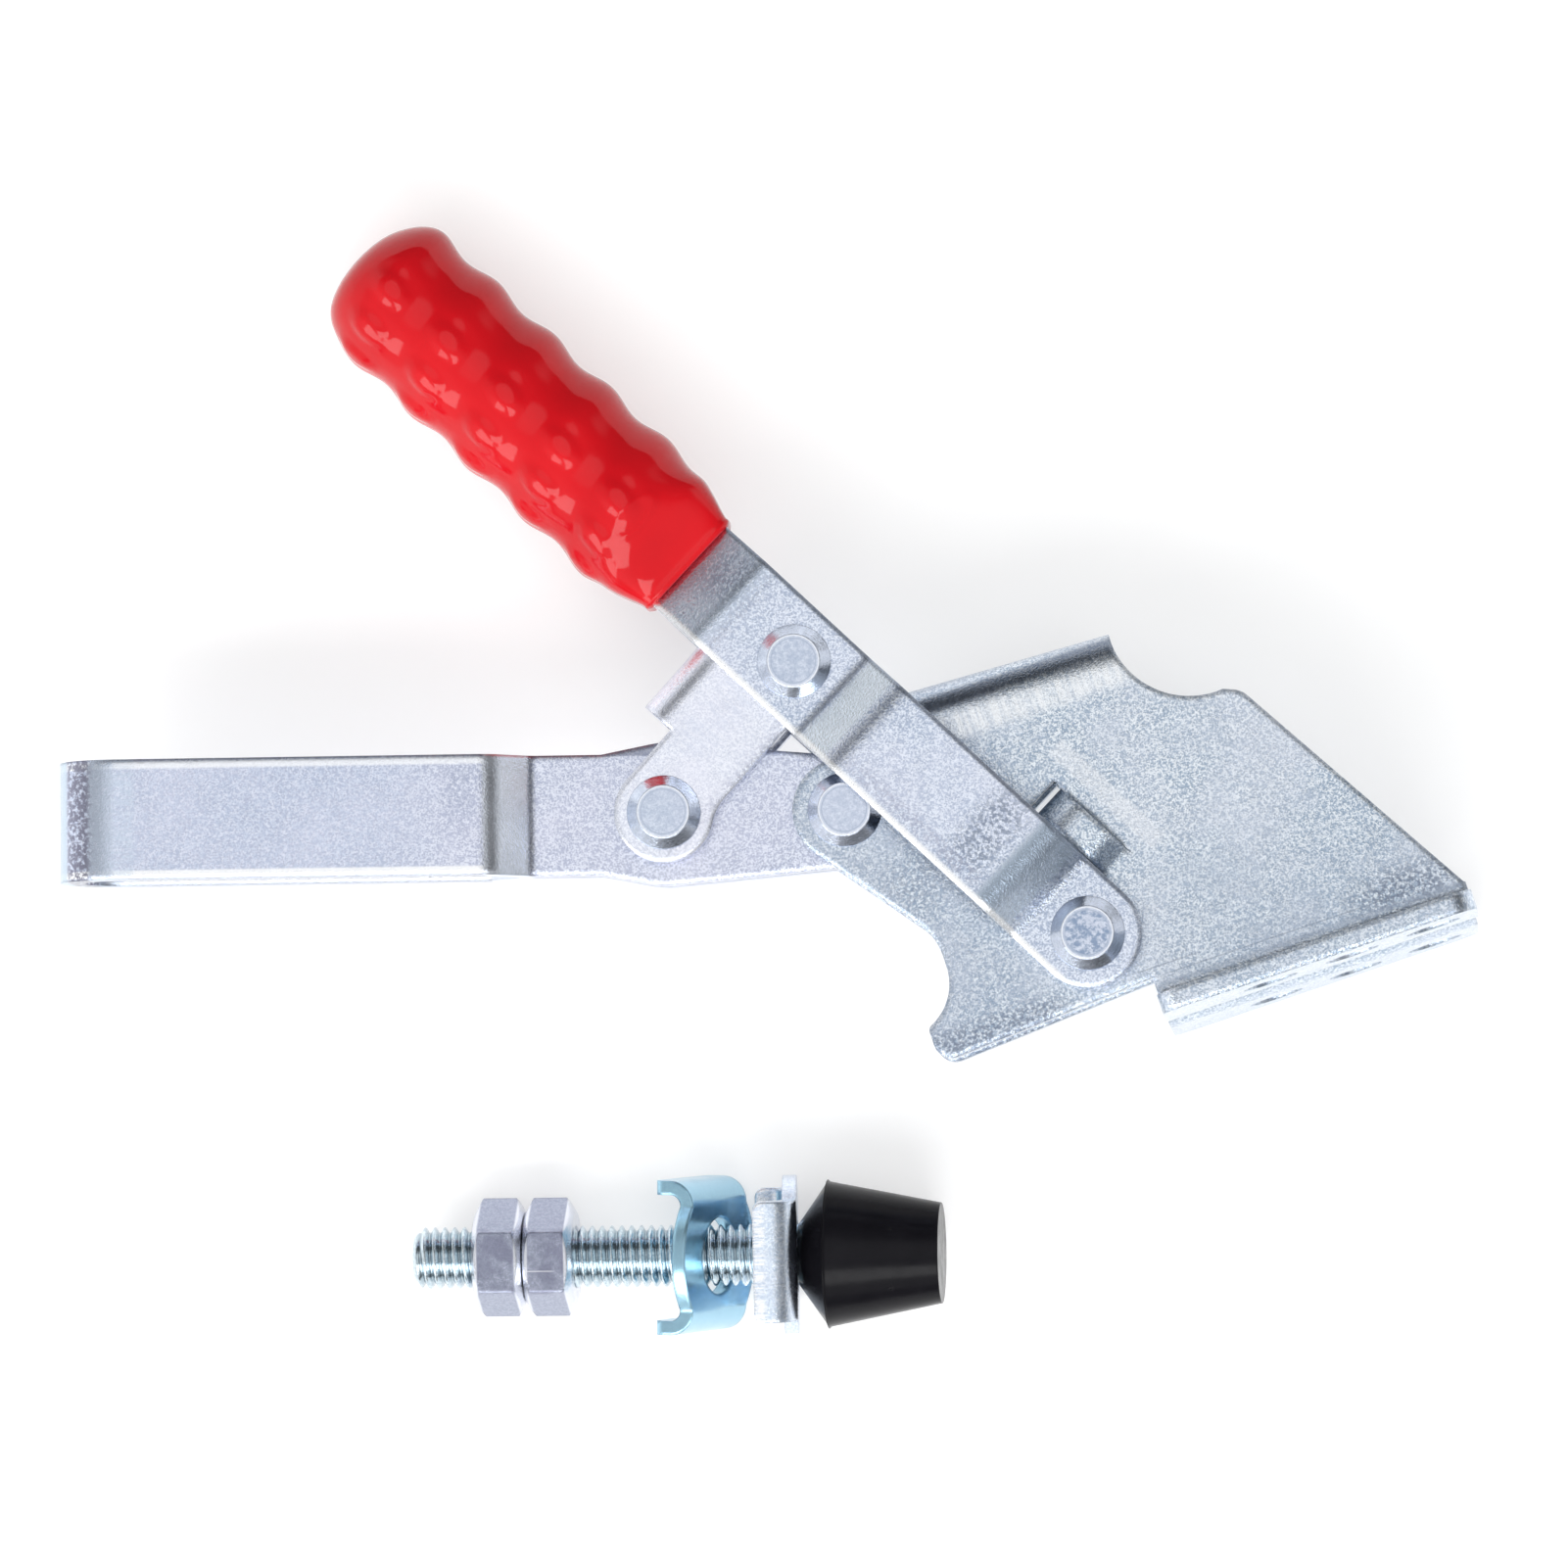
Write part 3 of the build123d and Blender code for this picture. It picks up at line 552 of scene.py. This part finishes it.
# ---- new pieces ---------------------------------------------------------------------------------
def add_mesh(name, points, faces, place, material):
    """A smooth piece from points in mm in the frame that it belongs to."""
    mesh = bpy.data.meshes.new(name)
    corners = [tuple(place @ Vector([float(v) * MM for v in point])) for point in points]
    mesh.from_pydata(corners, [], faces)
    mesh.validate()
    mesh.materials.append(material)
    mesh.shade_smooth()
    work = bmesh.new()
    work.from_mesh(mesh)
    bmesh.ops.recalc_face_normals(work, faces=work.faces)
    work.to_mesh(mesh)
    work.free()
    made = bpy.data.objects.new(name, mesh)
    bpy.context.scene.collection.objects.link(made)
    return made


# ---- the moulded grip: stations along the handle and radii in mm ---------------------------------
GRIP_MOUTH, GRIP_END = 67.9, 125.1
GRIP_RINGS, GRIP_AROUND = 260, 176
MOUTH_RADIUS, GRIP_SWELL, SWELL_END = 7.3, 1.75, 74.5
FLAT_FROM, FLAT_UNTIL = 68.5, 79.0       # the strap's flat section fades out between them
MOUTH_THINNER, MOUTH_SQUARER = 0.42, 3.0
MOUTH_DEPTH = 2.5                        # how far the opening's wall is seen
LIP_AT, LIP_WIDTH, LIP_HEIGHT = 0.55, 0.30, 0.16                 # from the mouth
EDGE_WIDTH, EDGE_ROUNDING = 0.22, 0.35
OVAL_AT, OVAL_SIDE, OVAL_HEIGHT = 76.7, -0.4, 0.10               # a moulded ring near the mouth
OVAL_LONG, OVAL_WIDE, OVAL_LINE, OVAL_RADIUS = 1.4, 3.2, 0.22, 9.0
LOBE_FIRST, LOBE_PITCH, LOBE_LEAN = 79.5, 9.7, 1.6
LOBE_HEIGHT, PLAIN_LOBE_MORE = 0.42, 0.45                        # more where no domes stand
LOBES_UNTIL = 122.5                      # they fade out from here to the end
DOME_COLUMNS, DOME_HEIGHT = 10, 0.48     # domes round the grip in each lobe
DOMES_FACE = -0.62                       # rad from the upper side, where the photograph sees them
CLOSES_FROM, CLOSED_RADIUS = 118.0, 0.02
CLOSES_SLOWLY, CLOSES_ROUND = 2.7, 2.35  # powers of the end's curve


def smooth(value, low, high):
    t = np.clip((value - low) / (high - low), 0.0, 1.0)
    return t * t * (3 - 2 * t)


def grip_radius(station, angle):
    """Radius at a station and at angles round the grip, 0 on the upper side."""
    lean = LOBE_LEAN * np.sin(angle)
    lobe = 0.5 + 0.5 * np.cos(2 * math.pi * (station - LOBE_FIRST - lean) / LOBE_PITCH)
    column = 0.5 + 0.5 * np.cos(DOME_COLUMNS * angle)
    dome = smooth(lobe * column, 0.05, 0.90)
    facing = smooth(np.cos(angle - DOMES_FACE), 0.50, 0.90)
    plain = LOBE_HEIGHT + PLAIN_LOBE_MORE * (1 - facing)
    relief = plain * lobe + DOME_HEIGHT * facing * dome
    lobed = (smooth(station, LOBE_FIRST - 7.0, LOBE_FIRST - 2.0)
             * (1 - smooth(station, LOBES_UNTIL, GRIP_END)))
    swell = MOUTH_RADIUS + GRIP_SWELL * smooth(station, GRIP_MOUTH - 0.5, SWELL_END)
    across = OVAL_RADIUS * np.sin(angle)
    oval = np.hypot((station - OVAL_AT) / OVAL_LONG, (across - OVAL_SIDE) / OVAL_WIDE)
    ring = OVAL_HEIGHT * np.exp(-((oval - 1.0) / OVAL_LINE) ** 2) * (np.cos(angle) > 0)
    return swell + lobed * relief + ring


def grip_ring(station, angle):
    """One ring of points in the handle's frame: flattened at the mouth, closed at the far end."""
    radius = grip_radius(station, angle)
    if station > CLOSES_FROM:
        t = (station - CLOSES_FROM) / (GRIP_END - CLOSES_FROM)
        radius = radius * (1 - t ** CLOSES_SLOWLY) ** (1 / CLOSES_ROUND)
        radius = np.maximum(radius, CLOSED_RADIUS)
    past_mouth = station - GRIP_MOUTH
    lip = LIP_HEIGHT * math.exp(-((past_mouth - LIP_AT) / LIP_WIDTH) ** 2)
    edge = EDGE_ROUNDING * math.exp(-(past_mouth / EDGE_WIDTH) ** 2)
    flat = 1 - smooth(station, FLAT_FROM, FLAT_UNTIL)
    power = 2 + MOUTH_SQUARER * flat
    across, up = np.sin(angle), np.cos(angle)
    rounding = 1.0 / (np.abs(across) ** power + np.abs(up) ** power) ** (1 / power)
    reach = (radius + lip - edge) * rounding
    return np.stack([np.full(len(angle), station), -reach * across,
                     reach * up * (1 - MOUTH_THINNER * flat)], axis=1)


def build_grip(material):
    """The sleeve: rings from inside the mouth to the closed end."""
    angle = np.linspace(0, 2 * math.pi, GRIP_AROUND, endpoint=False)
    outer = [grip_ring(s, angle) for s in np.linspace(GRIP_MOUTH, GRIP_END, GRIP_RINGS)]
    inside = GRIP_MOUTH + MOUTH_DEPTH
    inner = []
    for station, thin in ((inside, 0.60), (GRIP_MOUTH, 0.62)):
        ring = outer[0] * (1.0, thin + 0.28, thin)
        ring[:, 0] = station
        inner.append(ring)
    rings = inner + outer
    last = (len(rings) - 1) * GRIP_AROUND
    faces = []
    for start in range(0, last, GRIP_AROUND):
        for j in range(GRIP_AROUND):
            k = (j + 1) % GRIP_AROUND
            above = start + GRIP_AROUND
            faces.append((start + j, above + j, above + k, start + k))
    end_middle = last + GRIP_AROUND
    mouth_middle = end_middle + 1
    for j in range(GRIP_AROUND):
        k = (j + 1) % GRIP_AROUND
        faces.append((last + j, end_middle, last + k))
        faces.append((j, k, mouth_middle))
    points = np.concatenate(rings + [[[GRIP_END, 0, 0]], [[inside, 0, 0]]])
    return add_mesh("grip_sleeve", points, faces, HANDLE, material)


# ---- the spindle's thread: radii and lengths in mm -----------------------------------------------
THREAD_PITCH, THREAD_AROUND = 1.25, 72
THREAD_OUTER, THREAD_ROOT = 3.9, 3.2
START_RADIUS, START_SLOPE = 2.75, 1.15   # the chamfer at the free end
BOLT_LENGTH = 56.9
THREAD_PROFILE = ((0.0, 1.0), (0.10, 1.0), (0.22, 0.80), (0.46, 0.04),
                  (0.56, 0.0), (0.66, 0.04), (0.88, 0.80))       # share of the pitch, height


def build_thread(material):
    """The whole bolt: a helical thread that starts at a chamfer and a flat end."""
    turns = int(BOLT_LENGTH / THREAD_PITCH) + 2
    rounds = [2 * math.pi * j / THREAD_AROUND for j in range(THREAD_AROUND + 1)]
    points = []
    for turn in range(-1, turns):
        for share, height in THREAD_PROFILE:
            for j, angle in enumerate(rounds):
                x = (turn + share + j / THREAD_AROUND) * THREAD_PITCH
                x = min(max(x, 0.0), BOLT_LENGTH)
                r = THREAD_ROOT + (THREAD_OUTER - THREAD_ROOT) * height
                r = min(r, START_RADIUS + x * START_SLOPE)
                points.append((x, r * math.cos(angle), r * math.sin(angle)))
    width = len(rounds)
    faces = []
    for start in range(0, len(points) - width, width):
        for j in range(start, start + THREAD_AROUND):
            quad = (j, j + width, j + width + 1, j + 1)
            if len({round(points[q][0], 6) for q in quad}) > 1:  # past an end they lie in one plane
                faces.append(quad)
    first = len(points)
    points += [(0.0, START_RADIUS * math.cos(angle), START_RADIUS * math.sin(angle))
               for angle in rounds[:-1]]
    faces.append(tuple(reversed(range(first, len(points)))))
    return add_mesh("spindle_thread", points, faces, SPINDLE, material)


# ---- floor, world and lamps ---------------------------------------------------------------------
FLOOR_HALF, FLOOR_DROP = 4.0, 0.0002     # m
FLOOR_GREY = (0.62, 0.62, 0.62, 1.0)
FLOOR_GLOW = 0.44                        # brings the floor to white where a ray sees it


def add_floor():
    """A floor that looks white, but lights the clamp as a grey one does."""
    h = FLOOR_HALF
    mesh = bpy.data.meshes.new("floor")
    mesh.from_pydata([(-h, -h, 0), (h, -h, 0), (h, h, 0), (-h, h, 0)], [], [(0, 1, 2, 3)])
    floor = bpy.data.objects.new("floor", mesh)
    floor.location.z = -FLOOR_DROP
    bpy.context.scene.collection.objects.link(floor)
    s = Shader("floor_white")
    s.set(Base_Color=FLOOR_GREY, Roughness=0.9, Specular_IOR_Level=0.0,
          Emission_Color=(1.0, 1.0, 1.0, 1.0))
    path = s.node("ShaderNodeLightPath")
    seen = path.outputs["Is Camera Ray"]
    for ray in ("Is Glossy Ray", "Is Transmission Ray"):
        seen = s.math("MAXIMUM", seen, path.outputs[ray])
    s.feed("Emission Strength", s.times(seen, FLOOR_GLOW))
    mesh.materials.append(s.material)


def towards(azimuth):
    """Level direction, from degrees."""
    angle = math.radians(azimuth)
    return math.cos(angle), math.sin(angle), 0.0


PATCH_LEAN = math.radians(13.0)          # the ceiling patch leans across the flanges
PATCH = (-math.sin(PATCH_LEAN) * math.sin(LAY_YAW), math.sin(PATCH_LEAN) * math.cos(LAY_YAW),
         math.cos(PATCH_LEAN))
WORLD_STRENGTH = 1.07


def set_world():
    """Soft room: a bright ceiling patch that the flat faces show, walls that darken to one side,
    and a pale horizon with a dark far side."""
    world = bpy.data.worlds.new("studio")
    bpy.context.scene.world = world
    world.use_nodes = True
    nodes, link = world.node_tree.nodes, world.node_tree.links.new
    background = nodes["Background"]
    place = nodes.new("ShaderNodeTexCoord").outputs["Generated"]

    def ramp(direction, low, high, *stops):
        """Grey by how far a ray points in a direction, from (cosine, level) stops."""
        dot = nodes.new("ShaderNodeVectorMath")
        dot.operation = "DOT_PRODUCT"
        link(place, dot.inputs[0])
        dot.inputs[1].default_value = direction
        span = nodes.new("ShaderNodeMapRange")
        link(dot.outputs["Value"], span.inputs["Value"])
        span.inputs["From Min"].default_value = low
        span.inputs["From Max"].default_value = high
        made = nodes.new("ShaderNodeValToRGB")
        link(span.outputs["Result"], made.inputs["Fac"])
        elements = made.color_ramp.elements
        while len(elements) < len(stops):
            elements.new(0.5)
        for element, (where, level) in zip(elements, stops):
            element.position = (where - low) / (high - low)
            element.color = (level, level, level, 1.0)
        return made.outputs["Color"]

    def mix(factor, first, second):
        made = nodes.new("ShaderNodeMix")
        made.data_type = "RGBA"
        link(factor, made.inputs["Factor"])
        link(first, made.inputs[MIX_A])
        link(second, made.inputs[MIX_B])
        return made.outputs[MIX_RESULT]

    walls = ramp(towards(65), -1.0, 1.0, (-1.0, 1.10), (-0.70, 1.0), (-0.42, 0.65),
                 (0.02, 0.55), (0.34, 0.14), (1.0, 0.12))
    patch = ramp(PATCH, 0.80, 1.0, (0.80, 0.97), (1.0, 1.0))
    ceiling = mix(ramp(PATCH, 0.80, 1.0, (0.885, 0.0), (0.935, 1.0)), walls, patch)
    pale = ramp(towards(-68), -1.0, 1.0, (-1.0, 0.95), (0.4, 0.92), (0.75, 0.50), (0.95, 0.12),
                (1.0, 0.10))
    dark = ramp(PATCH, -1.0, 1.0, (-1.0, 0.13), (1.0, 0.12))
    horizon = mix(ramp(towards(78), -1.0, 1.0, (0.55, 1.0), (0.80, 0.0)), dark, pale)
    high = ramp((0.0, 0.0, 1.0), 0.0, 1.0, (0.30, 0.0), (0.44, 1.0))
    link(mix(high, horizon, ceiling), background.inputs["Color"])
    background.inputs["Strength"].default_value = WORLD_STRENGTH


def add_lamp(name, azimuth, elevation, distance, size, level, glossy=True):
    """Softbox that looks at the clamp, in degrees and m. Its level is its surface's brightness."""
    data = bpy.data.lights.new(name, "AREA")
    data.shape = "RECTANGLE"
    data.size, data.size_y = size
    data.energy = level * math.pi * size[0] * size[1]
    lamp = bpy.data.objects.new(name, data)
    a, e = math.radians(azimuth), math.radians(elevation)
    lamp.location = (distance * math.cos(e) * math.cos(a), distance * math.cos(e) * math.sin(a),
                     distance * math.sin(e))
    lamp.rotation_euler = (-lamp.location).to_track_quat("-Z", "Y").to_euler()
    lamp.visible_camera = False
    lamp.visible_glossy = glossy
    bpy.context.scene.collection.objects.link(lamp)


# ---- the scene ----------------------------------------------------------------------------------
thread_material = dress_metal()
grip_material = pvc_red()
dress(rubber_black(), "rubber_tip")
dress(grip_material, "handle_grip")

grip = build_grip(grip_material)
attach(grip, "handle")
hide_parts("handle_grip")

thread = build_thread(thread_material)
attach(thread, "base")
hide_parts("spindle_bolt")

add_camera()
add_floor()
set_world()
add_lamp("softbox_front", -85, 55, 1.2, (0.80, 0.46), 4.4)
add_lamp("softbox_left", -130, 32, 1.2, (0.84, 0.56), 3.9)
add_lamp("fill", 60, 70, 1.5, (1.2, 1.2), 1.7, glossy=False)
bpy.context.scene.view_settings.view_transform = "Standard"
